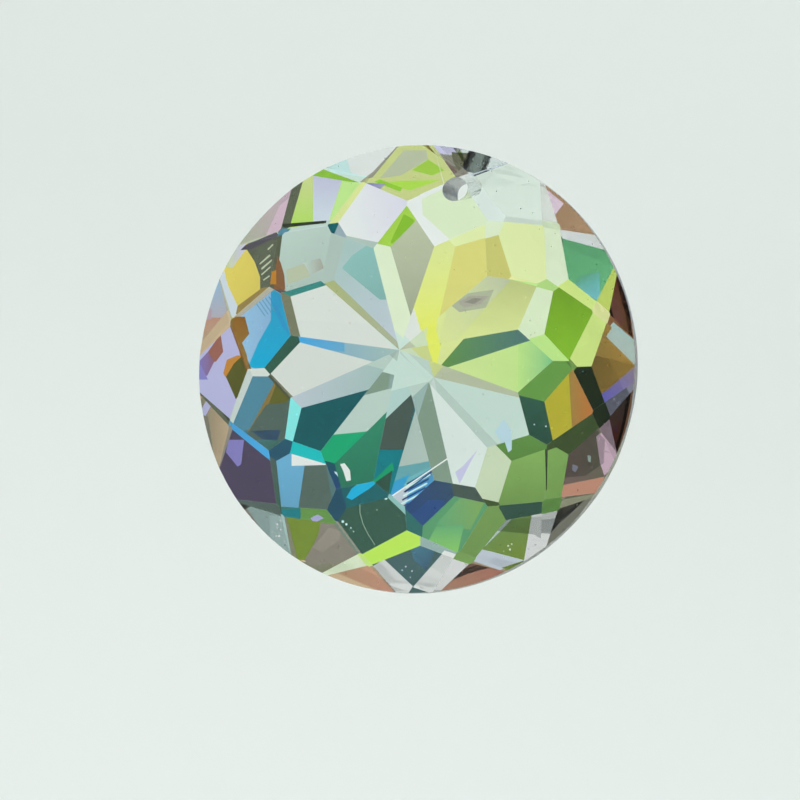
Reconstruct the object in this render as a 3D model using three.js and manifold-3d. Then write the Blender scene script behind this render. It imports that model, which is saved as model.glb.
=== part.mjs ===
// Clear acrylic prism that hangs in a window: one solid piece, double convex, with the same four
// rings of flat facets on both sides of a round girdle, and a hole drilled through near the rim.
// Millimetres. The disc's axis is Y, the front looks to -Y, +Z is up as it hangs, and the origin
// is the middle of the hole.

import * as THREE from 'three';
import { mergeVertices } from 'three/addons/utils/BufferGeometryUtils.js';
import Module from 'manifold-3d';

// Outline of the disc
const DISC_DIAMETER = 50;
const GIRDLE_THICKNESS = 1.0;          // at its thinnest, in the middle of each rim facet
const FACETS_PER_RING = 12;
const GIRDLE_STEPS_PER_FACET = 15;

// How far each ring reaches in from the rim, where it meets the next ring
const RIM_RING_REACH = 3.7;
const DIAMOND_RING_REACH = 6.7;
const HEXAGON_RING_REACH = 11.6;

// How steeply each ring falls towards the rim, in degrees from the disc's middle plane
const RIM_ANGLE = 34.5;
const DIAMOND_ANGLE = 27.7;
const HEXAGON_ANGLE = 18.9;
const KITE_ANGLE = 13.6;

// The front's point is cut off centre, this far above the middle; the back's is in the middle
const FRONT_POINT_RISE = 1.25;

// Hanging hole, drilled straight through along the disc's axis
const HOLE_DIAMETER = 2.8;
const HOLE_FROM_RIM = 4.75;            // rim to the centre of the hole
const HOLE_STEPS = 32;

// How far the cutting bodies run past the disc
const CUT_MARGIN = 2;

const wasm = await Module();
wasm.setup();

function solidFrom(geometry) {
  const plain = geometry.toNonIndexed();
  plain.deleteAttribute('normal');
  plain.deleteAttribute('uv');
  const merged = mergeVertices(plain, 1e-5);
  return new wasm.Manifold(new wasm.Mesh({
    numProp: 3,
    vertProperties: new Float32Array(merged.attributes.position.array),
    triVerts: new Uint32Array(merged.index.array),
  }));
}

function geometryFrom(solid) {
  const mesh = solid.getMesh();
  const geometry = new THREE.BufferGeometry();
  geometry.setAttribute('position', new THREE.BufferAttribute(new Float32Array(mesh.vertProperties), 3));
  geometry.setIndex(new THREE.BufferAttribute(new Uint32Array(mesh.triVerts), 1));
  return geometry;
}

const discRadius = DISC_DIAMETER / 2;
const facetStep = (2 * Math.PI) / FACETS_PER_RING;
const cornerShare = Math.cos(facetStep / 2);    // a ring's corner line falls this much slower
const slope = (degrees) => Math.tan(THREE.MathUtils.degToRad(degrees));

// Each ring is the side of a pyramid. A ring's pyramid is raised until it meets the ring outside
// it at that ring's reach, on the outer ring's facet line or on its corner line, in turn.
const rimRadius = discRadius - RIM_RING_REACH;
const diamondRadius = discRadius - DIAMOND_RING_REACH;
const hexagonRadius = discRadius - HEXAGON_RING_REACH;
const rimPeak = GIRDLE_THICKNESS / 2 + slope(RIM_ANGLE) * discRadius;
const diamondPeak = rimPeak - slope(RIM_ANGLE) * rimRadius
  + slope(DIAMOND_ANGLE) * rimRadius * cornerShare;
const hexagonPeak = diamondPeak - slope(DIAMOND_ANGLE) * diamondRadius
  + slope(HEXAGON_ANGLE) * diamondRadius * cornerShare;
const kitePeak = hexagonPeak - slope(HEXAGON_ANGLE) * hexagonRadius
  + slope(KITE_ANGLE) * hexagonRadius * cornerShare;

// Rim facets and hexagons lie in line with the hole, kites and diamonds half a step away from it
const rings = [
  { peak: rimPeak, angle: RIM_ANGLE, turn: facetStep / 2 },
  { peak: diamondPeak, angle: DIAMOND_ANGLE, turn: 0 },
  { peak: hexagonPeak, angle: HEXAGON_ANGLE, turn: facetStep / 2 },
  { peak: kitePeak, angle: KITE_ANGLE, turn: 0, pointRise: FRONT_POINT_RISE },
];

function ringPyramid(ring) {
  const depth = ring.peak + kitePeak + CUT_MARGIN;
  const cornerRadius = depth / slope(ring.angle) / cornerShare;
  const pyramid = new THREE.ConeGeometry(cornerRadius, depth, FACETS_PER_RING, 1, false, ring.turn);
  pyramid.translate(0, ring.peak - depth / 2, 0);
  return pyramid;
}

// Leans a front pyramid so that its point rises while its facets still meet the hexagons' corners
function raisePoint(pyramid, rise) {
  const cornerDepth = slope(KITE_ANGLE) * hexagonRadius * cornerShare;
  const lean = rise / cornerDepth;
  pyramid.applyMatrix4(new THREE.Matrix4().set(
    1, 0, 0, 0,
    0, 1, 0, 0,
    0, -lean, 1, rise - lean * kitePeak,
    0, 0, 0, 1,
  ));
}

function buildPrism() {
  const girdleSteps = FACETS_PER_RING * GIRDLE_STEPS_PER_FACET;
  const blankHeight = 2 * (kitePeak + CUT_MARGIN);
  let prism = solidFrom(new THREE.CylinderGeometry(discRadius, discRadius, blankHeight, girdleSteps));
  for (const ring of rings) {
    const back = ringPyramid(ring);
    const front = back.clone().rotateZ(Math.PI);
    if (ring.pointRise) raisePoint(front, ring.pointRise);
    prism = prism.intersect(solidFrom(back));
    prism = prism.intersect(solidFrom(front));
  }

  const holeRadius = HOLE_DIAMETER / 2;
  const holeHeight = discRadius - HOLE_FROM_RIM;
  const drill = new THREE.CylinderGeometry(holeRadius, holeRadius, blankHeight, HOLE_STEPS);
  drill.translate(0, 0, holeHeight);
  prism = prism.subtract(solidFrom(drill));

  return geometryFrom(prism).translate(0, 0, -holeHeight);
}

const clearAcrylic = new THREE.MeshStandardMaterial({
  color: 0xdfe9e2,
  roughness: 0.03,
  metalness: 0,
  transparent: true,
  opacity: 0.35,
});

const prism = new THREE.Mesh(buildPrism(), clearAcrylic);
prism.name = 'prism';

const suncatcher = new THREE.Group();
suncatcher.add(prism);

export default suncatcher;
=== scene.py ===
import math

import bmesh
import bpy
import numpy as np
from mathutils import Matrix, Vector


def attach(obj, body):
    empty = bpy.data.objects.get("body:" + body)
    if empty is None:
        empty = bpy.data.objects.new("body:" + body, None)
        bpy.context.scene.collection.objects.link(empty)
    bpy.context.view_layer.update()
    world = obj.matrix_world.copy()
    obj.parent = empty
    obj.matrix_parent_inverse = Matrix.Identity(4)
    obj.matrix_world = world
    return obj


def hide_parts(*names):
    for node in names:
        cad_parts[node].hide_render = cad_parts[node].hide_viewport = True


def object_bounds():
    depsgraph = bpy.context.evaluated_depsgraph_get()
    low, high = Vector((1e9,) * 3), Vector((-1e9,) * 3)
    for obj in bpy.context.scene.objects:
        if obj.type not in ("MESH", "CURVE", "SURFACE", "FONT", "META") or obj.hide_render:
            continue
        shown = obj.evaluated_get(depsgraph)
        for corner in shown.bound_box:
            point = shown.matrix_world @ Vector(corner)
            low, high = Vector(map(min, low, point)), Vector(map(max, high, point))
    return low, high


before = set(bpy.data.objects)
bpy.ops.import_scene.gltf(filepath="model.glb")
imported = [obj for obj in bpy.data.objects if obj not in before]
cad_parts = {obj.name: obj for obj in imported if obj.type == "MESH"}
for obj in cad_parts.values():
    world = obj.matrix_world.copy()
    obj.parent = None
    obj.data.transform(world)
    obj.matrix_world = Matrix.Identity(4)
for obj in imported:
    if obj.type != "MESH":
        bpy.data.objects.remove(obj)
cad_low, cad_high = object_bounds()
scene = bpy.context.scene


# Camera
# It stands level with the disc, a little to its right, and is rolled so that the hole comes just
# right of the top. The lens is long, so both faces of the disc keep nearly the same size.
MM = 0.001
DISC_RADIUS = (cad_high.x - cad_low.x) / 2
DISC_CENTRE = Vector((0, 0, cad_low.z + DISC_RADIUS))
CAMERA_DISTANCE = 0.614
LEAN = math.radians(15.45)             # how far the disc's axis leans away from the line of sight
LEAN_TOWARDS = math.radians(158.67)    # and which way, turned from the picture's right
SPIN = math.radians(0.66)
HOLE_CLOCK = math.radians(15)          # the hole's place on the dial, right of the top
SENSOR_WIDTH = 36
FARTHEST_SEEN = 20
PICTURE = 800                          # pixels across
DISC_PIXEL = (416.5, 368.8)            # the disc's middle in the photograph
PIXELS_A_MM = 8.988                    # and how large it shows there


def turn(axis, angle):
    """The matrix that turns about z or about y."""
    c, s = math.cos(angle), math.sin(angle)
    if axis == "z":
        return np.array([[c, -s, 0], [s, c, 0], [0, 0, 1]])
    return np.array([[c, 0, s], [0, 1, 0], [-s, 0, c]])


dial_to_picture = (turn("z", LEAN_TOWARDS) @ turn("y", LEAN) @ turn("z", -LEAN_TOWARDS)
                   @ turn("z", SPIN))
dial_to_disc = np.array([[1, 0, 0], [0, 0, -1], [0, 1, 0]]) @ turn("z", HOLE_CLOCK)
right, up, towards = (dial_to_disc @ row for row in dial_to_picture)
eye = np.array(DISC_CENTRE) + towards * CAMERA_DISTANCE

lens = bpy.data.cameras.new("camera")
lens.sensor_width = SENSOR_WIDTH
lens.lens = SENSOR_WIDTH * PIXELS_A_MM * CAMERA_DISTANCE / MM / PICTURE
lens.shift_x = (PICTURE / 2 - DISC_PIXEL[0]) / PICTURE
lens.shift_y = (DISC_PIXEL[1] - PICTURE / 2) / PICTURE
lens.clip_end = FARTHEST_SEEN
camera = bpy.data.objects.new("camera", lens)
scene.collection.objects.link(camera)
camera.matrix_world = (Matrix.Translation(eye)
                       @ Matrix(np.stack([right, up, towards], 1)).to_4x4())
scene.camera = camera


# Room
# A pale sweep, which is floor, rounded corner and wall in one sheet, runs behind and under the
# disc. Its light is what shows through the disc. Two soft lights shine on it, and the sky is dim
# on the camera's side, so that little is mirrored in the front.
FLOOR_Z = -0.26
FLOOR_FRONT_Y = -1.2
WALL_Y = 0.95
WALL_TOP = 1.3
SWEEP_RADIUS = 0.3
SWEEP_HALF_WIDTH = 1.6
SWEEP_STEPS = 16
PALE = (0.80, 0.845, 0.825, 1)
PAPER_ROUGHNESS = 0.9

profile = [(FLOOR_FRONT_Y, FLOOR_Z)]
for step in range(SWEEP_STEPS + 1):
    angle = math.pi / 2 * step / SWEEP_STEPS
    profile.append((WALL_Y - SWEEP_RADIUS + SWEEP_RADIUS * math.sin(angle),
                    FLOOR_Z + SWEEP_RADIUS - SWEEP_RADIUS * math.cos(angle)))
profile.append((WALL_Y, WALL_TOP))
points = [(x, y, z) for y, z in profile for x in (-SWEEP_HALF_WIDTH, SWEEP_HALF_WIDTH)]
strips = [(2 * i, 2 * i + 1, 2 * i + 3, 2 * i + 2) for i in range(len(profile) - 1)]
sheet = bpy.data.meshes.new("sweep")
sheet.from_pydata(points, [], strips)
sheet.shade_smooth()
sweep = bpy.data.objects.new("sweep", sheet)
scene.collection.objects.link(sweep)

sweep_finish = bpy.data.materials.new("pale sweep")
sweep_finish.use_nodes = True
paper = sweep_finish.node_tree.nodes["Principled BSDF"]
paper.inputs["Base Color"].default_value = PALE
paper.inputs["Roughness"].default_value = PAPER_ROUGHNESS
sheet.materials.append(sweep_finish)

SKY_COLOUR = (0.95, 1.0, 0.975, 1)
BRIGHT_SIDE = (-0.5, 1, 0)             # behind the disc and to the left
FADE = {"From Min": -0.25, "From Max": 0.2, "To Min": 0.15, "To Max": 0.68}

world = bpy.data.worlds.new("studio")
scene.world = world
world.use_nodes = True
sky = world.node_tree
sky.nodes["Background"].inputs["Color"].default_value = SKY_COLOUR
direction = sky.nodes.new("ShaderNodeTexCoord")
facing = sky.nodes.new("ShaderNodeVectorMath")
facing.operation = "DOT_PRODUCT"
facing.inputs[1].default_value = BRIGHT_SIDE
brightness = sky.nodes.new("ShaderNodeMapRange")
for name, value in FADE.items():
    brightness.inputs[name].default_value = value
sky.links.new(direction.outputs["Generated"], facing.inputs[0])
sky.links.new(facing.outputs["Value"], brightness.inputs["Value"])
sky.links.new(brightness.outputs["Result"], sky.nodes["Background"].inputs["Strength"])

BEAM = math.radians(100)               # narrow enough to keep the disc itself out of their light


def soft_light(name, place, aim, size, watts, colour):
    light = bpy.data.lights.new(name, "AREA")
    light.shape = "RECTANGLE"
    light.size, light.size_y = size
    light.energy = watts
    light.spread = BEAM
    light.color = colour
    box = bpy.data.objects.new(name, light)
    scene.collection.objects.link(box)
    box.location = place
    box.rotation_mode = "QUATERNION"
    box.rotation_quaternion = (Vector(place) - Vector(aim)).to_track_quat("Z", "Y")
    box.visible_camera = False
    box.visible_glossy = False
    box.visible_transmission = False


soft_light("wall light", place=(0, -0.2, 1.5), aim=(0, WALL_Y, -0.05), size=(1.6, 0.8),
           watts=7.8, colour=(1, 1, 1))
soft_light("left light", place=(-1.3, -0.4, 0.5), aim=(0, WALL_Y, 0), size=(0.8, 1.0),
           watts=2.8, colour=(1, 0.99, 0.97))

scene.view_settings.view_transform = "Standard"
scene.view_settings.look = "None"


# Prism
# One piece of clear acrylic, moulded double convex, both sides cut and polished into four rings of
# twelve facets, drilled near the rim. The front carries an iridescent coat that gives each
# facet, and each far facet seen through it, its own colour.

# Colours of the coat, 0 to 255, as they look against the pale wall
COAT = {
    "mist": (206, 214, 206), "ice": (222, 238, 230), "cloud": (192, 206, 214),
    "pearl": (166, 190, 198), "lilac": (150, 155, 172), "violet": (122, 118, 178),
    "plum": (72, 69, 80), "mauve": (150, 138, 146), "sky": (100, 165, 198),
    "azure": (60, 150, 205), "slate": (76, 112, 112), "teal": (22, 92, 97), "navy": (26, 72, 92),
    "ink": (52, 80, 104), "turquoise": (15, 180, 180), "aqua": (128, 228, 233),
    "emerald": (46, 130, 100), "sea": (48, 112, 106), "sage": (155, 184, 178),
    "celadon": (176, 198, 188), "lichen": (174, 184, 156), "fern": (122, 146, 128),
    "forest": (53, 92, 76), "moss": (92, 138, 66), "leaf": (118, 158, 84),
    "grass": (126, 178, 50), "lime": (164, 210, 78), "spring": (197, 233, 130),
    "dew": (205, 224, 190), "primrose": (230, 243, 188), "lemon": (216, 216, 126),
    "straw": (188, 200, 132), "gold": (198, 188, 86), "ochre": (166, 160, 52),
    "bronze": (140, 120, 64), "brown": (126, 90, 60), "tan": (186, 166, 132),
    "clay": (150, 116, 94), "pine": (34, 46, 30), "olive": (62, 82, 44), "jade": (92, 160, 112),
    "apple": (178, 218, 132), "smoke": (146, 146, 132), "khaki": (118, 122, 98),
    "frost": (190, 226, 232), "bark": (84, 92, 72), "verdigris": (132, 180, 174),
    "cocoa": (112, 96, 92), "rose": (204, 188, 200), "camel": (162, 134, 104),
    "lagoon": (104, 170, 176), "pear": (182, 202, 100), "kingfisher": (48, 150, 186),
    "chestnut": (136, 94, 38), "wisteria": (166, 168, 210), "heather": (140, 102, 108),
    "amber": (190, 132, 52), "steel": (76, 130, 150), "snow": (240, 248, 244),
    "periwinkle": (135, 176, 216), "petrol": (10, 116, 124), "viridian": (20, 158, 108),
    "stone": (126, 122, 110), "mustard": (108, 132, 42), "parrot": (128, 192, 98),
    # On the next line, sparkle is a blue-white used for painted highlights, glints of light on kite 7
    "apricot": (190, 142, 118), "copper": (186, 118, 62), "sparkle": (178, 208, 248),
    "citron": (212, 224, 96), "shade": (78, 98, 90), "honey": (214, 200, 90),
    "seaweed": (86, 88, 34), "maroon": (118, 66, 50), "orchid": (198, 174, 188),
    "leather": (146, 118, 58), "dusk": (110, 110, 200), "brick": (150, 98, 84),
    "glacier": (186, 226, 232), "cyan": (20, 165, 205), "night": (36, 66, 112),
    "haze": (188, 190, 216), "peach": (200, 170, 140), "cream": (203, 221, 186),
    "butter": (207, 221, 160), "pistachio": (198, 220, 146), "aubergine": (68, 59, 83),
    "mint": (206, 221, 209),
}
PLAIN = (214, 221, 217)                # and how bare acrylic looks there

# Facet by facet, the coat's colour over each far facet that shows through: k kite, h hexagon,
# d diamond, r rim, and its place on the dial. The first also holds for those not named.
SEEN_THROUGH = """
kite 1: k23 lemon, k1 lemon-, h0 butter, k21 mist, k19 celadon+;
kite 3: k3 straw, k1 primrose--, k23 straw+, k21 dew-, k19 lichen, h2 apple;
kite 5: k5 apple, k3 jade--, k1 straw+, k23 pear, k21 straw, k19 dew-;
kite 7: k7 celadon+, k9 celadon, k5 lichen, k19 celadon+, k21 celadon, k3 lichen, k23 straw,
    k1 straw, k11 ice--, k17 celadon+, k13 celadon, k15 celadon+;
kite 9: k9 ice-, k11 fern, k13 sage-, k19 celadon+, k17 celadon+, k15 celadon, k21 celadon;
kite 11: k11 lagoon, k13 sea, k15 sage+, k17 celadon+, k19 celadon+, k21 celadon+;
kite 13: k15 celadon, k13 emerald, k17 sage--, h14 teal--, k19 celadon+, k21 celadon-;
kite 15: k15 teal, k17 pearl, h16 aqua, k19 celadon, k21 celadon--;
kite 17: k17 mist, k19 lagoon, h18 forest, h16 khaki, k21 sage;
kite 19: k19 mist, h18 khaki, h20 sea++, k21 celadon+;
kite 21: k21 sage, k19 straw--, h20 celadon-;
kite 23: k23 lichen, k21 dew, h22 lime-, k19 celadon+;
hexagon 0: h0 dew+, k23 ice, h22 ice, d23 ice;
hexagon 2: h2 primrose, k1 lemon--, h0 dew, k3 straw++;
hexagon 4: h4 grass, k3 cream, k5 apple, h2 apple-;
hexagon 6: h6 ochre, k5 moss+, k7 olive+, h4 moss--;
hexagon 8: h8 moss+, k9 dew-, k7 moss--, h10 olive;
hexagon 10: h10 jade-, k11 ink, k9 shade--, h12 sea-;
hexagon 12: h12 forest, k13 teal, h14 navy, k11 verdigris, d13 smoke-;
hexagon 14: h14 slate, k15 turquoise, h16 navy+, d15 shade--;
hexagon 16: h16 slate, d17 ice--, h18 mist, k17 bark--;
hexagon 18: h18 sky, d19 smoke++, d17 chestnut-, r18 bronze-;
hexagon 20: h20 lichen, d19 bark, h18 cocoa--, d21 cloud, r20 steel-;
hexagon 22: h22 snow--, d21 straw+, h20 pearl--, k21 celadon-;
diamond 1: d1 ice, h0 ice-, h2 mint-, r0 cloud;
diamond 3: d3 jade, h2 dew, h4 spring;
diamond 5: d5 bronze, h4 spring, h6 pine, k5 leaf-;
diamond 7: d7 khaki, h8 leaf+, h6 olive, k7 olive;
diamond 9: d9 leaf-, h10 leaf-, h8 forest--;
diamond 11: d11 lilac, h12 lime, h10 sage-;
diamond 13: d13 khaki, h14 forest++, h12 fern--, r14 sage, d15 forest--;
diamond 15: d15 plum, h16 azure-, r16 stone+, d17 kingfisher;
diamond 17: d17 mauve, h18 chestnut-, r18 tan+;
diamond 19: d19 gold, r18 lichen;
diamond 21: d21 dew-, h20 celadon, r20 smoke++;
diamond 23: d23 straw, h22 straw, r22 smoke, h0 ice, d21 straw--;
rim 0: r0 cloud, d23 smoke-, h0 snow-, d1 cloud;
rim 2: r2 camel, d1 mist, h2 dew-, d3 camel;
rim 4: r4 brown, d3 pear, h4 straw++, d5 brown;
rim 6: r6 clay--, d5 lilac--, d7 orchid-, h6 pine++;
rim 8: r8 smoke, d9 ice, h8 moss+, d7 khaki++;
rim 10: r10 clay, d11 mist+, h10 leaf, d9 tan--;
rim 12: r12 tan+, d13 dew, h12 spring-, d11 tan;
rim 14: r14 sage-, d15 shade-, h14 shade--, d13 sage--;
rim 16: r16 khaki, d17 bark, h16 sky--;
rim 18: r18 tan, d19 smoke++, d17 tan+, h18 tan+;
rim 20: r20 lichen, d19 lichen, h20 steel--;
rim 22: r22 smoke++, d21 celadon+, h22 straw--;
"""

# Where the coat changes inside a facet, and a few painted highlights, glints of light laid on as
# coat colour: the front facet, and the far ones behind it if it keeps to them, its colours, and its
# corners in mm to the right of the disc's middle and above it, as the eye sees them. No corners:
# all of it. a>b@30 runs from a to b, 30 degrees up from the right.
PATCHES = [
    ("r22", "glacier", [(-10.5, 24.3), (-1.8, 25.5), (-4.3, 21.2), (-9.6, 21.8)]),
    ("r22 r22", "ice+", [(-8.0, 24.3), (-0.9, 25.5), (-3.6, 20.8), (-7.2, 21.5)]),
    ("r22", "smoke>lichen--@45", [(-6.3, 20.8), (-1.8, 24.3), (-0.5, 24.8), (-4.3, 20.3)]),
    ("d23 r22", "smoke", [(-6.3, 20.8), (-1.8, 24.6), (-0.9, 24.3), (-4.5, 20.6)]),
    ("d21 d21", "dew-", []),
    ("d21 d21", "straw>lime@-90", [(-13.4, 22.7), (-11.5, 22.7), (-11.5, 15.2), (-15.2, 15.2)]),
    ("d21 d21", "haze->cloud@-90", [(-11.5, 22.7), (-6.7, 22.7), (-9.6, 15.2), (-11.5, 15.2)]),
    ("d21 d21", "apple", [(-7.7, 22.7), (-2.4, 22.7), (-7.2, 14.8), (-10.3, 14.8)]),
    ("d21 d21", "grass", [(-13.0, 24.3), (-2.4, 24.3), (-2.7, 20.6), (-7.4, 20.8), (-11.6, 21.5),
        (-13.4, 21.5)]),
    ("d21", "bark", [(-13.9, 22.3), (-12.6, 21.0), (-14.1, 15.8), (-15.6, 14.8), (-16.3, 17.1)]),
    ("d21 d21", "bark", [(-13.3, 21.2), (-12.6, 21.0), (-14.1, 15.8), (-14.6, 15.9)]),
    ("d21", "pine", [(-15.2, 16.1), (-10.0, 16.5), (-10.1, 16.2), (-14.7, 15.7)]),
    ("d21, r20", "steel", [(-15.9, 14.2), (-15.0, 15.6), (-14.0, 15.6), (-15.3, 14.0)]),
    ("h22 h20", "teal", [(-10.3, 16.3), (-8.6, 16.3), (-9.2, 14.9), (-9.6, 15.0)]),
    ("r20 r20", "lichen->orchid-@20", []),
    ("r20 r20", "orchid", [(-15.2, 18.2), (-13.0, 19.9), (-13.9, 16.3), (-15.6, 14.1),
        (-17.2, 13.9)]),
    ("h20 h20", "celadon>celadon-@-60", []),
    ("h20 h20", "celadon>smoke+@0", [(-12.7, 11.8), (-10.7, 12.3), (-10.3, 11.2), (-12.0, 10.3),
        (-12.5, 11.0)]),
    ("h20 h20", "lichen", [(-14.5, 11.0), (-12.5, 11.7), (-11.8, 10.3), (-14.3, 9.4)]),
    ("h20", "brown", [(-15.5, 12.6), (-15.1, 11.8), (-14.7, 10.4), (-14.6, 8.8), (-15.9, 8.8),
        (-15.7, 11.0)]),
    ("h20 d19", "amber-", [(-16.1, 10.8), (-15.6, 11.0), (-15.6, 9.4), (-16.3, 9.4)]),
    ("d19 d19", "honey>honey-@-20", []),
    ("d19 d19", "straw>haze@0", [(-22.1, 13.8), (-19.0, 14.3), (-19.0, 13.3), (-20.5, 11.2),
        (-21.6, 11.4)]),
    ("d19 d19", "bark", [(-18.9, 13.3), (-18.5, 15.4), (-14.1, 15.4), (-14.1, 7.7), (-17.4, 8.5),
        (-17.4, 10.2), (-18.0, 11.9)]),
    ("d19 d19", "cloud", [(-22.3, 11.0), (-21.6, 11.7), (-21.0, 9.3), (-19.9, 7.0), (-20.1, 5.4),
        (-21.2, 6.5)]),
    ("d19 d19", "lichen", [(-17.5, 11.7), (-16.4, 12.7), (-16.2, 12.6), (-17.4, 11.6)]),
    ("d19 d19", "lichen", [(-17.3, 11.2), (-16.1, 12.2), (-16.1, 12.0), (-17.2, 11.0)]),
    ("d19 d19", "lichen", [(-17.3, 10.5), (-16.3, 11.4), (-16.2, 11.3), (-17.2, 10.4)]),
    ("d19 d19", "lichen", [(-17.1, 9.9), (-16.4, 10.4), (-16.3, 10.3), (-17.0, 9.8)]),
    ("d19 d19", "lichen", [(-16.6, 13.3), (-16.0, 13.9), (-15.9, 13.8), (-16.5, 13.2)]),
    ("d19 d19", "bronze", [(-20.1, 6.1), (-19.9, 7.0), (-17.2, 9.0), (-15.6, 9.2), (-15.2, 7.7),
        (-19.6, 5.9)]),
    ("d19, r20", "plum", [(-19.6, 13.2), (-19.0, 13.8), (-15.6, 15.2), (-15.3, 14.8),
        (-18.3, 13.3)]),
    ("h18 h18", "periwinkle+>periwinkle-@0", []),
    ("h18 h18", "kingfisher>cyan@-90", [(-16.2, 9.9), (-15.0, 9.3), (-13.0, 4.3), (-16.7, -0.4),
        (-18.7, 0.3), (-17.6, 2.9), (-16.2, 5.4)]),
    ("h18", "chestnut>leather@-90", [(-21.6, 4.8), (-20.1, 5.8), (-19.1, 5.8), (-18.6, 3.9),
        (-19.4, 2.9), (-18.9, 1.6), (-18.5, -0.4), (-20.1, 2.5)]),
    ("h18 r18", "bronze-", []),
    ("r18 r18", "periwinkle+>peach@-80", []),
    ("r18 r18", "apricot>tan@-70", [(-25.0, 5.7), (-21.4, 5.7), (-22.5, 3.4), (-25.0, 1.4)]),
    ("r18 r18", "orchid-", [(-24.1, 6.4), (-22.8, 6.7), (-22.8, 5.5), (-24.1, 5.3)]),
    ("r18", "tan+", [(-25.2, 1.4), (-21.2, 6.3), (-19.6, 7.7), (-19.2, 5.2), (-24.1, 0.3)]),
    ("d17 d17", "wisteria+", []),
    ("d17 d17", "brick", [(-23.2, 1.9), (-21.8, 3.9), (-21.5, 1.9), (-22.3, 0.8), (-23.4, 0.8)]),
    ("d17 d17", "heather>violet@180", [(-24.5, 0.5), (-23.2, 1.9), (-22.5, 0.8), (-23.3, -0.8),
        (-24.2, -0.4)]),
    ("d17 d17", "violet+", [(-25.2, 0.8), (-24.1, 0.6), (-23.2, -1.2), (-25.0, -1.2)]),
    ("d17 d17", "amber", [(-21.5, -0.5), (-21.1, 1.0), (-19.9, 1.5), (-19.2, 1.4), (-20.3, 0.5),
        (-21.2, -1.0)]),
    ("d17 d17", "chestnut+", [(-19.9, 2.8), (-19.3, 2.9), (-19.0, 1.2), (-19.6, 1.4)]),
    ("d17 d17", "seaweed", [(-21.2, -0.9), (-20.3, 0.6), (-19.2, 1.6), (-17.2, 0.3),
        (-20.1, -3.4)]),
    ("r16 d17", "pine+", [(-23.5, -2.4), (-22.8, -2.5), (-20.1, -5.0), (-20.7, -6.1)]),
    ("r16 r16", "khaki>tan@0", []),
    ("r16 r16", "apricot", [(-25.0, -1.2), (-24.0, -1.7), (-23.5, -3.0), (-24.5, -3.7)]),
    ("r16", "plum+", [(-24.3, -0.8), (-23.4, -2.1), (-23.8, -3.0), (-24.5, -2.1)]),
    ("r16 r16", "wisteria+", [(-24.1, -4.8), (-23.2, -3.2), (-22.6, -3.6), (-23.5, -5.3)]),
    ("r16 r16", "stone>khaki@0", [(-24.5, -5.0), (-23.2, -5.3), (-22.5, -10.1), (-21.6, -12.6),
        (-24.1, -9.0)]),
    ("h16 h16", "steel>forest+@-50", []),
    ("h16 h16", "bronze-", [(-16.5, -0.1), (-14.5, -0.1), (-14.7, -1.7), (-17.2, -4.8),
        (-18.3, -7.0), (-19.0, -6.8)]),
    ("h16 h16", "seaweed+", [(-15.2, -0.6), (-13.4, -2.4), (-14.7, -4.1), (-16.5, -4.1)]),
    ("h16 h16", "shade", [(-16.7, -4.0), (-14.1, -3.7), (-14.5, -7.9), (-19.2, -7.9),
        (-17.9, -5.7)]),
    ("h16 h16", "steel", [(-18.5, 0.3), (-16.2, 0.3), (-15.9, -1.7), (-18.5, -6.6),
        (-21.0, -7.9), (-21.0, -5.1)]),
    ("d15 h16", "azure>azure+@-30", [(-21.4, -5.0), (-20.1, -5.8), (-18.5, -6.8), (-16.5, -8.0),
        (-15.6, -8.6), (-15.6, -10.4), (-20.7, -7.9)]),
    ("h16", "ink-", [(-18.4, -6.9), (-15.1, -6.8), (-15.5, -8.0), (-17.2, -7.8)]),
    ("d15 d15", "aubergine", []),
    ("d15 d15", "violet", [(-20.9, -7.9), (-19.2, -7.9), (-19.5, -10.6), (-19.9, -10.9),
        (-21.2, -9.3)]),
    ("h14 h14", "sky>sky-@-90", [(-15.6, -9.6), (-13.4, -9.3), (-12.4, -10.8), (-13.1, -15.9),
        (-15.6, -15.9)]),
    ("h14 h14", "shade", [(-12.4, -10.4), (-10.1, -10.4), (-9.2, -15.9), (-13.2, -15.9)]),
    ("h14 h14", "snow", [(-13.9, -9.0), (-9.6, -9.6), (-10.1, -10.7), (-13.9, -10.8)]),
    ("h14 d15", "shade->forest@-90", []),
    ("d13 h14", "petrol", [(-15.4, -15.6), (-12.7, -15.5), (-12.9, -17.9), (-14.7, -17.9)]),
    ("d13 h14", "moss", [(-12.9, -15.4), (-8.5, -15.2), (-8.3, -17.3), (-12.9, -17.3)]),
    ("d13 h14", "wisteria-", [(-11.8, -16.6), (-11.0, -16.2), (-10.3, -16.6), (-11.4, -17.2)]),
    ("k13 h14", "teal-->night@-90", []),
    ("k13", "sparkle", [(-9.2, -11.4), (-8.5, -11.6), (-8.0, -12.6), (-8.5, -12.3)]),
    ("r14 r14", "sage-", []),
    ("r14 r14", "smoke-", [(-20.7, -14.2), (-19.3, -14.9), (-16.5, -19.0), (-17.6, -18.6)]),
    ("d13", "tan+", [(-13.7, -18.8), (-13.3, -18.6), (-12.3, -21.5), (-13.2, -21.3)]),
    ("d13 d13", "mustard", [(-14.5, -16.2), (-10.6, -16.8), (-10.7, -17.9), (-12.3, -21.3),
        (-13.2, -21.3)]),
    ("d13 d13", "stone", [(-10.6, -16.8), (-8.0, -16.4), (-6.7, -19.0), (-6.7, -21.3),
        (-11.8, -21.9), (-12.5, -21.3), (-11.0, -18.8)]),
    ("d13 d13", "stone+", [(-11.6, -19.9), (-9.8, -17.7), (-8.5, -17.9), (-8.5, -19.0),
        (-10.5, -20.4)]),
    ("h12 h12", "forest->forest-@-90", []),
    ("h12 k13", "cyan", [(-7.8, -14.3), (-7.2, -13.3), (-6.1, -12.5), (-4.5, -11.9),
        (-4.1, -12.4), (-5.2, -13.3), (-7.2, -14.6)]),
    ("d11", "snow", [(-5.6, -21.3), (-3.5, -21.2), (-0.3, -24.2), (-0.7, -25.7)]),
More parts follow.
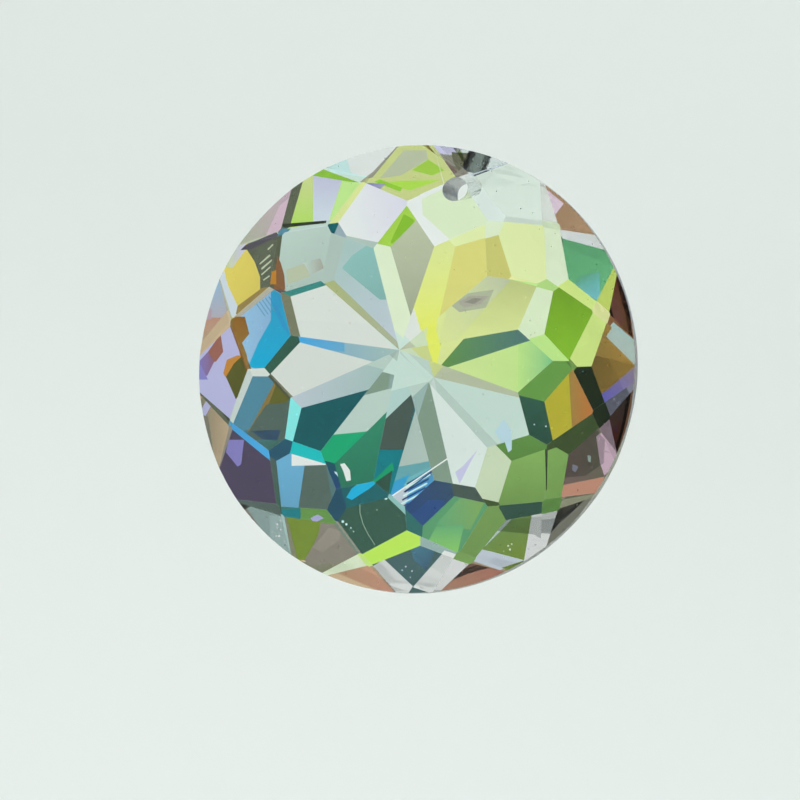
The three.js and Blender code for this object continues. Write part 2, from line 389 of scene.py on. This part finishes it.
    ("d11", "snow", [(3.1, -20.2), (6.4, -21.3), (2.6, -25.3), (-0.5, -24.4)]),
    ("k13 k13", "emerald-->emerald@90", []),
    ("k13 k15", "viridian", [(-11.0, -7.5), (-1.8, -6.6), (-6.1, -8.7), (-7.5, -10.4),
        (-11.0, -10.8)]),
    ("k11 k13", "teal+>petrol@-90", []),
    ("k11 k13", "shade--", [(-5.2, -6.3), (0.4, -1.8), (-1.4, -9.0), (-4.7, -9.0)]),
    ("k11 k13", "petrol", [(-5.2, -9.0), (-1.4, -9.0), (-2.1, -10.8), (-2.9, -11.3),
        (-5.0, -12.4)]),
    ("k11 k13", "viridian-", [(-5.6, -13.2), (-2.7, -10.4), (-2.5, -11.3), (-4.7, -12.8)]),
    ("k11 k13", "forest--", [(-6.1, -13.7), (-2.7, -11.3), (-3.2, -14.6), (-6.3, -14.6)]),
    ("k11 k11", "celadon-", [(-2.3, -3.5), (2.6, -3.5), (3.1, -10.1), (-2.7, -11.0)]),
    ("k11 k11", "lagoon-", [(-4.1, -11.3), (2.8, -10.0), (3.7, -9.6), (2.6, -10.4),
        (-3.8, -13.5)]),
    ("k11 k11", "kingfisher>azure@-90", [(-4.1, -13.3), (-0.7, -11.7), (-2.3, -14.6),
        (-4.1, -14.6)]),
    ("k11 k11", "cloud-", [(-3.4, -14.6), (-0.5, -12.6), (-0.5, -14.6), (-1.8, -15.5)]),
    ("k11 k11", "steel>azure@-60", [(-0.7, -12.6), (3.9, -9.5), (2.6, -13.0), (0.4, -16.6),
        (-1.4, -15.9)]),
    ("k9 k11", "fern", [(1.9, -10.8), (3.5, -9.7), (5.5, -13.5), (3.3, -13.5), (0.6, -15.3)]),
    ("h10 k11", "ink->night@200", []),
    ("h10 k11", "night+", [(-1.3, -16.8), (1.3, -14.6), (3.3, -14.6), (2.6, -15.9), (0.8, -19.0)]),
    ("h10 h10", "jade-", []),
    ("h10 h10", "jade>leaf@0", [(2.6, -16.8), (4.8, -14.4), (7.7, -14.6), (6.0, -17.9),
        (2.2, -17.3)]),
    ("h10 h10", "parrot>jade@90", [(1.1, -19.6), (2.2, -17.5), (5.3, -17.3), (4.6, -20.4),
        (2.6, -20.8)]),
    ("d11 d11", "slate-", []),
    ("d11 d11", "steel>ink+@-60", [(-0.7, -19.7), (0.8, -18.9), (2.2, -19.9), (1.1, -22.4),
        (-0.3, -21.3)]),
    ("d11 d11", "snow", [(-5.6, -22.4), (-3.6, -21.2), (-0.4, -24.2), (-1.4, -25.7)]),
    ("d11 d11", "snow", [(3.2, -20.2), (6.4, -20.2), (2.6, -25.3), (-0.4, -24.3)]),
    ("d11 h12", "lime+", []),
    ("r12 r12", "camel+>apricot@0", [(-9.6, -22.4), (-4.8, -21.6), (-1.8, -24.6), (-1.8, -25.7)]),
    ("r10 r10", "clay>brick@0", []),
    ("d9 d9", "leaf->mustard+@-60", []),
    ("d9 d9", "celadon", [(8.6, -16.8), (10.6, -16.7), (9.7, -17.7), (7.7, -19.7), (6.0, -20.8),
        (7.1, -19.3)]),
    ("d9 d9", "cloud", [(6.4, -19.9), (8.2, -20.3), (12.0, -21.3), (9.3, -22.2), (6.0, -21.5)]),
    ("d9 d9", "snow", [(13.1, -14.6), (17.1, -14.6), (16.0, -22.9), (11.7, -22.9)]),
    ("r10 d9", "cloud", [(6.0, -21.3), (7.7, -20.3), (11.8, -21.3), (9.3, -22.4)]),
    ("d7 d7", "cocoa>khaki--@0", []),
    ("d7 d7", "apricot", [(16.0, -13.0), (20.9, -12.0), (20.9, -14.6), (16.0, -14.6)]),
    ("d7 d7", "orchid", [(20.0, -7.5), (22.6, -5.7), (22.6, -10.1), (20.9, -11.9), (20.4, -10.4)]),
    ("d7 d7", "celadon", [(19.0, -9.6), (19.4, -9.7), (19.4, -10.4), (19.1, -10.3)]),
    ("d7 d7", "lilac", [(17.4, -10.6), (18.0, -10.9), (17.7, -11.5), (17.3, -11.3)]),
    ("r6 r6", "clay>brown@-20", []),
    ("r6 r6", "heather", [(21.3, -6.3), (22.4, -6.4), (22.2, -9.0), (21.1, -10.1)]),
    ("d5 d5", "bronze->leather+@0", []),
    ("d5 d5", "dusk>mauve@40", [(20.2, -3.0), (21.2, -2.4), (24.9, 0.8), (25.4, -2.4),
        (21.8, -5.7)]),
    ("r4 d5", "sage", [(20.4, 3.4), (21.9, 5.2), (25.5, 2.1), (25.5, -0.6), (24.2, 0.5)]),
    ("d5 d5", "celadon-", [(21.1, 3.6), (21.9, 4.8), (24.9, 2.1), (24.9, -0.1), (24.2, 0.5)]),
    ("r4 r4", "maroon>brown@-90", []),
    ("r4 r4", "brick--", [(21.1, 7.7), (22.2, 8.1), (23.1, 5.2), (22.0, 4.3)]),
    ("h4 h4", "grass>grass--@90", []),
    ("h6 h6", "ochre+", []),
    ("h6 h6", "bronze+>copper@0", [(16.9, 0.3), (18.0, 0.3), (20.4, -3.7), (19.5, -5.7),
        (17.3, -6.8)]),
    ("h8 k7", "moss->moss@90", []),
    ("h6 k7", "forest-->forest@90", []),
    ("h8 h8", "leaf->leaf+@90", []),
    ("d7 h8", "leaf+>leaf@-90", []),
    ("h8 h8, d7 h8", "pine+", [(14.3, -8.6), (14.6, -8.6), (14.5, -13.5), (14.4, -13.5)]),
    ("d3 d3", "jade>jade+@-30", []),
    ("d3 d3", "jade>lagoon+@-60", [(18.0, 10.3), (20.4, 10.8), (20.4, 7.7), (17.3, 8.1)]),
    ("d3 d3", "ice", [(15.5, 15.9), (21.5, 14.6), (21.8, 13.0), (15.5, 14.7)]),
    ("d3 d3", "pine+", [(16.0, 14.7), (16.2, 14.7), (16.6, 10.0), (16.4, 10.0)]),
    ("r2 r2", "rose", [(13.2, 21.0), (16.4, 18.4), (15.2, 16.6)]),
    ("r2 r2", "camel->camel@0", [(16.4, 18.4), (20.4, 17.1), (20.4, 13.9), (16.2, 15.3),
        (15.1, 16.7)]),
    ("r0 r0", "cloud+", []),
    ("r0", "haze", [(1.5, 24.9), (6.0, 24.9), (4.3, 23.9), (2.6, 23.8)]),
    ("r0", "cocoa>khaki@30", [(0.4, 24.3), (2.5, 23.9), (2.6, 23.2), (4.8, 22.3), (3.6, 21.4)]),
    ("r0", "cocoa", [(0.7, 24.3), (2.6, 23.7), (4.6, 21.9), (3.6, 21.4)]),
    ("r0", "smoke-", [(2.5, 23.9), (4.1, 23.8), (4.4, 23.0), (2.6, 23.1)]),
    ("r0", "khaki--", [(3.9, 24.1), (6.1, 24.0), (5.6, 22.9), (4.7, 22.0), (4.1, 22.9)]),
    ("d23 d23", "straw", [(-5.2, 19.9), (1.3, 23.5), (4.8, 21.3), (-1.6, 19.8)]),
    ("d23 d23", "lichen", [(-4.1, 21.2), (-1.4, 24.3), (1.1, 24.3), (1.3, 23.3), (-1.8, 21.5)]),
    ("d23 d23", "lime-", [(-0.5, 22.1), (1.3, 23.3), (3.1, 22.1), (1.7, 21.5)]),
    ("d23 d23", "lime", [(-3.6, 20.6), (-2.1, 20.9), (2.6, 21.0), (-1.4, 19.6)]),
    ("d23", "grass+", [(-4.7, 20.8), (-4.1, 21.1), (-1.6, 20.1), (-1.8, 19.7)]),
    ("d23 h22", "violet>lilac@-20", [(-5.8, 20.7), (-3.4, 20.6), (-5.4, 18.7), (-7.8, 17.0)]),
    ("h22 h22", "haze+>snow-@200", []),
    ("k21 k21", "sage>cloud-@-50", []),
    ("k21 k21", "verdigris>verdigris-@-60", [(-4.7, 14.3), (-2.9, 14.2), (-1.4, 7.7),
        (-4.1, 7.7), (-8.3, 11.2), (-7.2, 12.6)]),
    ("k23 k23", "lichen-->lichen@90", []),
    ("k23 h22", "grass", [(-2.9, 14.1), (-1.4, 17.2), (-0.3, 16.6), (-0.3, 15.9), (-1.4, 15.0),
        (-2.7, 13.9)]),
    ("k1 k23", "straw+>citron@-90", []),
    ("k3 k23", "citron", [(1.3, 7.7), (2.4, 7.7), (2.2, 4.3), (3.3, 0.3), (1.8, -0.2),
        (0.8, 1.9), (1.2, 3.8)]),
    ("k5 k23", "citron", [(0.8, 3.8), (2.2, 4.3), (3.3, 0.3), (1.8, -0.2)]),
    ("k3 k1", "lichen>straw+@225", []),
    ("k3 k1", "lichen-", [(3.9, 7.0), (5.7, 8.4), (8.6, 8.8), (7.7, 6.8), (4.8, 6.3)]),
    ("k3 k1", "smoke+", [(4.6, 7.4), (6.0, 8.1), (8.0, 8.1), (7.1, 7.2), (5.3, 6.8)]),
    ("k3 k1", "smoke-", [(5.3, 7.4), (6.4, 7.9), (7.3, 7.8), (6.4, 7.2)]),
    ("k3 k3", "straw+>straw-@90", []),
    ("k5 k3", "moss>slate@0", []),
    ("k5 k5", "pistachio>apple@0", []),
    ("k5 k5", "apple>jade++@0", [(11.3, 5.4), (16.5, 5.4), (17.1, -3.5), (11.3, -3.5)]),
    ("k7 k7", "celadon+>celadon+@0", []),
    # Painted highlights: the two sparkle patches on kite 7 and the haze patch on kite 9 below are
    # glints of light, painted in as coat colour
    ("k7 k7", "sparkle", [(8.7, -7.0), (9.7, -5.6), (10.5, -6.8), (10.7, -9.3), (9.8, -8.7)]),
    ("h8 k7", "sparkle", [(9.6, -7.5), (10.6, -7.3), (10.6, -9.0), (10.2, -9.3)]),
    ("k9 k9", "haze", [(4.3, -11.5), (5.2, -10.8), (6.8, -9.0), (6.0, -10.4), (4.8, -12.8)]),
    ("k15 k17", "cloud->sage@0", []),
    ("k17 k19", "sky>sage@0", []),
    ("k17 k19", "azure+>sky@0", [(-14.5, 4.9), (-8.0, 4.0), (-8.0, 1.9), (-14.1, 2.6)]),
    ("k21 k19", "straw-->lichen-@0", []),
    ("k13 k17", "fern", [(-5.8, -2.6), (-3.8, -0.1), (-2.9, -0.4), (-3.2, -2.5), (-5.0, -3.2)]),
    ("h0 h0", "cream", []),
    ("d1 d1", "mint", []),
    ("h2 h2", "butter", []),
    ("k15 k15", "teal-", []),
    ("k13", "snow", [(-8.5, -10.6), (-8.0, -10.5), (-7.4, -11.3), (-7.3, -12.4), (-7.8, -12.5),
        (-8.1, -11.5)]),
]

# The facets, found by their slopes and by which way they face
RING_SLOPES = {"kite": 13.6, "hexagon": 18.9, "diamond": 27.7, "rim": 34.5}
RING_NAMES = list(RING_SLOPES)
RING_INITIALS = "".join(name[0] for name in RING_NAMES)
DIAL_STEPS = 24                        # hexagons and rims on the even ones, the others on the odd
GROUND_SLOPE = 0.3                     # the hole's wall and the girdle face less along Y than this
SAME_SPOT = 1e-6
RING_PLACE = 100                       # in a facet's number, what one ring adds
BACK = 1000                            # and what the back adds

cut = bmesh.new()
cut.from_mesh(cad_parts["prism"].data)
bmesh.ops.remove_doubles(cut, verts=cut.verts, dist=SAME_SPOT)
cut.normal_update()
facet_of = cut.faces.layers.int.new("facet")
behind_of = cut.faces.layers.int.new("behind")
paint_of = cut.faces.layers.int.new("paint")


def facet_code(side, ring, clock):
    """A facet's number. Faces that are no facet have 0, and the front's facets come below BACK."""
    return 1 + side * BACK + ring * RING_PLACE + clock


def is_ground(face):
    """The hole's wall and the girdle, which are matt."""
    return abs(face.normal.y) < GROUND_SLOPE


planes = {}
largest = {}
for face in cut.faces:
    if is_ground(face):
        continue
    n = face.normal
    side = 0 if n.y < 0 else 1
    slope = math.degrees(math.acos(abs(n.y)))
    ring = min(range(len(RING_NAMES)), key=lambda r: abs(RING_SLOPES[RING_NAMES[r]] - slope))
    clock = round(math.atan2(n.x, n.z) / (2 * math.pi / DIAL_STEPS)) % DIAL_STEPS
    code = facet_code(side, ring, clock)
    face[facet_of] = code
    if face.calc_area() > largest.get(code, 0):
        largest[code] = face.calc_area()
        planes[code] = (np.array(n), np.array(n) @ np.array(face.verts[0].co))

front_codes = [code for code in planes if code < BACK]
back_codes = [code for code in planes if code > BACK]
front_n = np.array([planes[code][0] for code in front_codes])
front_d = np.array([planes[code][1] for code in front_codes])
back_n = np.array([planes[code][0] for code in back_codes])
back_d = np.array([planes[code][1] for code in back_codes])

far_edges = []
for edge in cut.edges:
    codes = {face[facet_of] for face in edge.link_faces}
    if len(codes) == 2 and max(codes) > BACK:
        far_edges.append([np.array(v.co) for v in edge.verts])

# Polishing rounds the facets' edges a little
EDGE_ROUND = 0.04 * MM
EDGE_ANGLE = math.radians(3)
FLAT = math.cos(math.radians(0.1))

sharp = [e for e in cut.edges if len(e.link_faces) == 2 and e.calc_face_angle(0) > EDGE_ANGLE]
bmesh.ops.bevel(cut, geom=sharp, offset=EDGE_ROUND, offset_type="OFFSET", segments=1, profile=0.5,
                affect="EDGES", clamp_overlap=True)
cut.normal_update()
for face in cut.faces:
    code = face[facet_of]
    if code and np.array(face.normal) @ planes[code][0] < FLAT:
        face[facet_of] = 0

# The far side's facet edges, as they show through each front facet, part the coat's colours
ACRYLIC_IOR = 1.49
TRIES = 8                              # enough to find where a far point shows
SNAP = 1e-7
PARALLEL = 1e-9
SHORTEST_SHARE = 1e-4


def bend(ray, n, ratio):
    """The ray after it has crossed a surface of normal n into the denser side."""
    cos_in = -ray @ n
    cos_out = math.sqrt(1 - ratio * ratio * (1 - cos_in * cos_in))
    return ratio * ray + (ratio * cos_in - cos_out) * n


def ray_inside(spot, n):
    """Which way the eye looks on inside the acrylic, past a spot on a front facet."""
    ray = spot - eye
    return bend(ray / np.linalg.norm(ray), n, 1 / ACRYLIC_IOR)


def seen_at(point, n, d):
    """Where on the facet's plane the eye sees a point of the far side."""
    ray = point - eye
    spot = eye + ray * ((d - n @ eye) / (n @ ray))
    for _ in range(TRIES):
        ray = ray_inside(spot, n)
        spot = point - ray * ((n @ point - d) / (n @ ray))
    return spot


def bisect(faces, spot, across):
    """Cuts the faces along a plane and returns all their parts."""
    edges = dict.fromkeys(e for f in faces for e in f.edges)
    corners = dict.fromkeys(v for f in faces for v in f.verts)
    done = bmesh.ops.bisect_plane(cut, geom=[*faces, *edges, *corners], dist=SNAP,
                                  plane_co=Vector(spot),
                                  plane_no=Vector(across / np.linalg.norm(across)))
    return [part for part in done["geom"] if isinstance(part, bmesh.types.BMFace)]


def share_on_facet(code, a, b):
    """How much of the line from a to b, as a share of it, lies on a front facet."""
    others = np.array([other != code for other in front_codes])
    gaps = front_d[others] - front_n[others] @ a
    rates = front_n[others] @ (b - a)
    start, stop = 0.0, 1.0
    for gap, rate in zip(gaps, rates):
        if rate > 0:
            stop = min(stop, gap / rate)
        elif rate < 0:
            start = max(start, gap / rate)
    return stop - start


for code in front_codes:
    n, d = planes[code]
    parts = [f for f in cut.faces if f[facet_of] == code]
    for ends in far_edges:
        a, b = (seen_at(end, n, d) for end in ends)
        if share_on_facet(code, a, b) > SHORTEST_SHARE:
            parts = bisect(parts, a, np.cross(b - a, n))


def far_facet(face):
    """The facet of the back that the eye sees through the middle of a face."""
    spot = np.array(face.calc_center_median())
    ray = ray_inside(spot, planes[face[facet_of]][0])
    rates = back_n @ ray
    ahead = rates > PARALLEL
    reach = np.full(len(rates), np.inf)
    reach[ahead] = (back_d - back_n @ spot)[ahead] / rates[ahead]
    return back_codes[int(reach.argmin())]


# The first coat of colour, one to each far facet seen through each near one
SHADE = 1.18                           # how much lighter in light a + is, and darker a -


def light_value(colour):
    """Screen colour, 0 to 255, as light."""
    c = np.array(colour) / 255
    return np.where(c <= 0.04045, c / 12.92, ((c + 0.055) / 1.055) ** 2.4)


def coat_filter(name):
    """What the coat lets through. Light crosses it once, but the shader takes the square root of
    its colour, so this is the square."""
    shades = name.count("+") - name.count("-")
    value = light_value(COAT[name.rstrip("+-")]) * SHADE ** shades
    return np.clip(value / light_value(PLAIN), 0, 1) ** 2


def facet_named(tag, side):
    """The number of a facet from its initial and its place on the dial, such as k11."""
    return facet_code(side, RING_INITIALS.index(tag[0]), int(tag[1:]))


# Each paint is two filters, the direction in which one gives way to the other, and from where to
# where in mm
paints = []
cell_paint = {}
for entry in " ".join(SEEN_THROUGH.split()).rstrip(";").split(";"):
    head, cells = entry.split(":")
    ring, clock = head.split()
    near = facet_code(0, RING_NAMES.index(ring), int(clock))
    for cell in cells.split(","):
        far, name = cell.split()
        cell_paint.setdefault((near, 0), len(paints))
        cell_paint[near, facet_named(far, 1)] = len(paints)
        paints.append((coat_filter(name), coat_filter(name), (1, 0), 0, 1))

for face in cut.faces:
    near = face[facet_of]
    if 0 < near < BACK:
        face[behind_of] = far_facet(face)
        face[paint_of] = cell_paint.get((near, face[behind_of]), cell_paint[near, 0])


# The patches and streaks over it
def on_picture(points):
    """Where the eye sees points, in mm right of and above the disc's middle."""
    rays = np.array(points) - eye
    scale = CAMERA_DISTANCE / MM / -(rays @ towards)
    return np.stack([rays @ right, rays @ up], -1) * scale[..., None]


def is_within(spot, corners):
    """Whether a spot of the picture lies inside the corners, by how often a line left of it
    crosses their outline."""
    x, y = spot
    crossings = 0
    for (ax, ay), (bx, by) in zip(corners, corners[1:] + corners[:1]):
        if (ay > y) != (by > y) and x < ax + (y - ay) * (bx - ax) / (by - ay):
            crossings += 1
    return crossings % 2 == 1


def patch(cell, colours, corners):
    """Lays one colour, or an even change between two, on what the cell has between the corners."""
    near_tag, *far_tags = cell.split()
    near = facet_named(near_tag, 0)
    behind = [facet_named(tag, 1) for tag in far_tags]
    faces = [f for f in cut.faces
             if f[facet_of] == near and (not behind or f[behind_of] in behind)]
    rays = [right * x + up * y - towards * CAMERA_DISTANCE / MM for x, y in corners]
    for ray, following in zip(rays, rays[1:] + rays[:1]):
        faces = bisect(faces, eye, np.cross(ray, following))
    faces = [f for f in faces if not corners or is_within(on_picture(f.calc_center_median()), corners)]
    if not faces:
        return
    names, _, angle = colours.partition("@")
    first, _, last = names.partition(">")
    turned = math.radians(float(angle or 0))
    way = np.array([math.cos(turned), math.sin(turned)])
    along = on_picture([v.co for f in faces for v in f.verts]) @ way
    for face in faces:
        face[paint_of] = len(paints)
    paints.append((coat_filter(first), coat_filter(last or first), way, along.min(), along.max()))


for cells, colours, corners in PATCHES:
    for cell in cells.split(", "):
        patch(cell, colours, corners)

# Hairlines, where the coat is rubbed
HAIRLINE = 0.11                        # mm


def rub(cell, colours, start, stop, width=HAIRLINE, count=1, step=(0, 0), spread=(0, 0)):
    """Straight streaks side by side, in turn of each colour. The step leads from one to the next,
    and the spread is added to it at the far end."""
    for i in range(count):
        near_end = np.array(start) + i * np.array(step)
        far_end = np.array(stop) + i * (np.array(step) + spread)
        along = (far_end - near_end) / np.linalg.norm(far_end - near_end)
        side = np.array([-along[1], along[0]]) * width / 2
        patch(cell, colours[i % len(colours)],
              [near_end + side, far_end + side, far_end - side, near_end - side])


rub("h18 h18", ["sky-"], (-17.86, 7.32), (-16.86, 5.88), count=4, step=(0.356, 0.178))
rub("h18 h18", ["azure-"], (-16.43, 8.03), (-15.43, 6.59), count=4, step=(0.356, 0.178))
rub("h18 h18", ["azure-"], (-16.19, 7.66), (-15.30, 6.65), count=7, step=(0.2, -0.467))
rub("k11 k11", ["night", "frost"], (-1.06, -12.82), (1.72, -11.26), width=0.18, count=7,
    step=(-0.134, -0.445), spread=(-0.044, -0.045))
rub("k11 k11", ["snow"], (-3.06, -14.38), (3.73, -9.81), width=0.16)
rub("k9 k11", ["snow"], (-3.06, -14.38), (3.73, -9.81), width=0.16)
rub("k11 k11", ["night"], (-1.39, -13.71), (3.06, -10.48), width=0.14)

CURVED_SCRATCH = [(-6.29, -14.93), (-6.29, -16.04), (-5.95, -17.27), (-5.40, -18.38), (-4.62, -19.60)]
for start, stop in zip(CURVED_SCRATCH, CURVED_SCRATCH[1:]):
    rub("h12 h12", ["fern+"], start, stop, width=0.09)

# Small chips and specks: each has its place and its width in mm
SPECK_SIDES = 5
CHIPS = [
    ("r14 r14", "snow", [(-15.5, -17.3, 0.2), (-15.1, -17.9, 0.16), (-15.3, -18.6, 0.23),
                         (-14.7, -19.2, 0.12), (-16.0, -18.1, 0.1), (-15.6, -18.6, 0.14),
                         (-15.1, -16.9, 0.12), (-15.2, -16.5, 0.1), (-15.5, -17.7, 0.14),
                         (-14.4, -19.5, 0.1)]),
    ("d9 d9", "dew", [(10.2, -19.7, 0.19), (10.6, -19.5, 0.16), (10.4, -20.1, 0.22),
                      (9.7, -20.3, 0.12)]),
    ("d11 d11", "cloud", [(-1.2, -22.0, 0.16), (-0.5, -22.5, 0.16), (-1.6, -22.4, 0.14),
                          (-0.7, -23.2, 0.12)]),
    ("k13 h14", "snow", [(-9.0, -11.6, 0.12), (-8.6, -12.0, 0.2)]),
    ("d5 h6", "steel", [(18.5, -0.3, 0.12)]),
    ("h6 k7", "cloud", [(13.1, -6.2, 0.14), (14.4, -6.4, 0.17)]),
    ("h12 h12", "fern", [(-4.4, -15.7, 0.16)]),
    ("h12 h12", "frost", [(-3.4, -14.4, 0.29)]),
    ("h12", "frost", [(-8.2, -17.0, 0.25), (-7.8, -17.3, 0.22), (-7.3, -17.7, 0.14)]),
    ("h12", "sage", [(-7.0, -18.1, 0.14)]),
]

radius_for_width = math.sqrt(2 / SPECK_SIDES / math.sin(2 * math.pi / SPECK_SIDES))
for cell, colour, chips in CHIPS:
    for x, y, width in chips:
        angles = [2 * math.pi * i / SPECK_SIDES for i in range(SPECK_SIDES)]
        radius = width * radius_for_width
        patch(cell, colour, [(x + radius * math.cos(a), y + radius * math.sin(a)) for a in angles])

# Cuts between faces of one colour are taken out again, away from the hole
HOLE_REACH = 2 * MM
STRAIGHT = 0.001


def is_needless(edge):
    """An edge inside one facet with the same paint on both sides."""
    if len(edge.link_faces) != 2:
        return False
    one, other = edge.link_faces
    return (one[facet_of] == other[facet_of] > 0 and one[paint_of] == other[paint_of]
            and all(v.co.xz.length > HOLE_REACH for v in edge.verts))


def is_spare(corner):
    """A corner that only stands on a straight edge."""
    if len(corner.link_edges) != 2:
        return False
    before, after = (edge.other_vert(corner).co for edge in corner.link_edges)
    return (before - corner.co).angle(corner.co - after, math.pi) < STRAIGHT


bmesh.ops.dissolve_edges(cut, edges=[e for e in cut.edges if is_needless(e)], use_verts=False)
bmesh.ops.dissolve_verts(cut, verts=[v for v in cut.verts if is_spare(v)])

# Each face takes its paint, and the ground hole wall and girdle let less light through
GROUND_TINT = (0.3, 0.33, 0.31, 1)
CLEAR_TINT = (1, 1, 1, 1)

coat = cut.loops.layers.float_color.new("coat")
ground = cut.loops.layers.float.new("ground")
for face in cut.faces:
    tint = GROUND_TINT if is_ground(face) else CLEAR_TINT
    for loop in face.loops:
        loop[ground] = float(is_ground(face))
        loop[coat] = tint
    if 0 < face[facet_of] < BACK:
        first, last, way, low, high = paints[face[paint_of]]
        along = on_picture([v.co for v in face.verts]) @ way
        for loop, share in zip(face.loops, (along - low) / (high - low)):
            loop[coat] = (*(first + (last - first) * share), 1)

prism_mesh = bpy.data.meshes.new("prism body")
cut.to_mesh(prism_mesh)
prism = bpy.data.objects.new("prism_body", prism_mesh)
scene.collection.objects.link(prism)

# Wear of the acrylic, as a group: smooth where it is polished, rough where it is ground
wear = bpy.data.node_groups.new("worn acrylic", "ShaderNodeTree")
WEAR_INPUTS = {"Ground": 0.0, "Polished Roughness": 0.0, "Ground Roughness": 0.18,
               "Speck Amount": 0.018, "Scratch Amount": 0.1}
for name, value in WEAR_INPUTS.items():
    socket = wear.interface.new_socket(name, in_out="INPUT", socket_type="NodeSocketFloat")
    socket.default_value = value
wear.interface.new_socket("Roughness", in_out="OUTPUT", socket_type="NodeSocketFloat")
wear.interface.new_socket("Normal", in_out="OUTPUT", socket_type="NodeSocketVector")


def node(kind, inputs):
    """A node of the group. Each input, by name or number, takes a value or an output's link."""
    made = wear.nodes.new(kind)
    for name, value in inputs.items():
        if isinstance(value, bpy.types.NodeSocket):
            wear.links.new(value, made.inputs[name])
        else:
            made.inputs[name].default_value = value
    return made


def maths(operation, *values):
    made = node("ShaderNodeMath", dict(enumerate(values)))
    made.operation = operation
    made.use_clamp = operation == "ADD"
    return made.outputs[0]


given = wear.nodes.new("NodeGroupInput").outputs
place = wear.nodes.new("ShaderNodeTexCoord").outputs["Object"]

# Specks: a few of the cells of a fine grain hold a pit about 0.1 mm across
SPECK_GRAIN = 2200.0                   # cells a metre
SPECK_SPAN = 0.3                       # of a cell
SPECK_ROUGHNESS = 0.35

grain = node("ShaderNodeTexVoronoi", {"Vector": place, "Scale": SPECK_GRAIN})
draw = node("ShaderNodeSeparateColor", {"Color": grain.outputs["Color"]}).outputs[0]
chosen = maths("LESS_THAN", draw, given["Speck Amount"])
speck = maths("MULTIPLY", chosen, maths("LESS_THAN", grain.outputs["Distance"], SPECK_SPAN))

# Scratches: drawn-out grain in two directions, kept where a broad patchy mask allows them
SCRATCH_LEANS = (math.radians(35), math.radians(-62))
SCRATCH_GRAIN = (60.0, 400.0, 5200.0)
SCRATCH_RARITY = 0.71
PATCHY_GRAIN = 180.0
PATCHY_SHARE = 0.5

drawn = []
for lean in SCRATCH_LEANS:
    swing = node("ShaderNodeMapping", {"Vector": place, "Rotation": (0, lean, 0),
                                       "Scale": SCRATCH_GRAIN})
    fine = node("ShaderNodeTexNoise", {"Vector": swing.outputs["Vector"], "Scale": 1.0,
                                       "Detail": 1.0})
    drawn.append(maths("GREATER_THAN", fine.outputs["Fac"], SCRATCH_RARITY))
patchy = node("ShaderNodeTexNoise", {"Vector": place, "Scale": PATCHY_GRAIN, "Detail": 2.0})
where = maths("GREATER_THAN", patchy.outputs["Fac"], PATCHY_SHARE)
scratch = maths("MULTIPLY", maths("MAXIMUM", *drawn), where)

pitted = maths("ADD", maths("MULTIPLY", speck, SPECK_ROUGHNESS),
               maths("MULTIPLY", scratch, given["Scratch Amount"]))
polished = maths("ADD", given["Polished Roughness"], pitted)
roughness = node("ShaderNodeMix", {0: given["Ground"], 2: polished, 3: given["Ground Roughness"]})

# Tool marks on the ground wall and girdle, and pits elsewhere
MARK_GRAIN = 1500.0
MARK_HEIGHT = 4.0
SPECK_DEPTH = 0.5
DENT_STRENGTH = 0.6
DENT_DISTANCE = 0.1 * MM

marks = node("ShaderNodeTexNoise", {"Vector": place, "Scale": MARK_GRAIN, "Detail": 3.0})
marked = maths("MULTIPLY", marks.outputs["Fac"], given["Ground"])
height = maths("SUBTRACT", maths("MULTIPLY", marked, MARK_HEIGHT),
               maths("MULTIPLY", speck, SPECK_DEPTH))
dent = node("ShaderNodeBump", {"Height": height, "Strength": DENT_STRENGTH,
                               "Distance": DENT_DISTANCE})
node("NodeGroupOutput", {"Roughness": roughness.outputs[0], "Normal": dent.outputs["Normal"]})

# The acrylic itself: clear, tinted by the coat, and worn
acrylic = bpy.data.materials.new("clear acrylic")
acrylic.use_nodes = True
tree = acrylic.node_tree
shader = tree.nodes["Principled BSDF"]
shader.inputs["IOR"].default_value = ACRYLIC_IOR
shader.inputs["Transmission Weight"].default_value = 1
coat_colour = tree.nodes.new("ShaderNodeVertexColor")
coat_colour.layer_name = "coat"
ground_mask = tree.nodes.new("ShaderNodeAttribute")
ground_mask.attribute_name = "ground"
worn = tree.nodes.new("ShaderNodeGroup")
worn.node_tree = wear
tree.links.new(coat_colour.outputs["Color"], shader.inputs["Base Color"])
tree.links.new(ground_mask.outputs["Fac"], worn.inputs["Ground"])
tree.links.new(worn.outputs["Roughness"], shader.inputs["Roughness"])
tree.links.new(worn.outputs["Normal"], shader.inputs["Normal"])
prism_mesh.materials.append(acrylic)

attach(prism, "root")
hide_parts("prism")
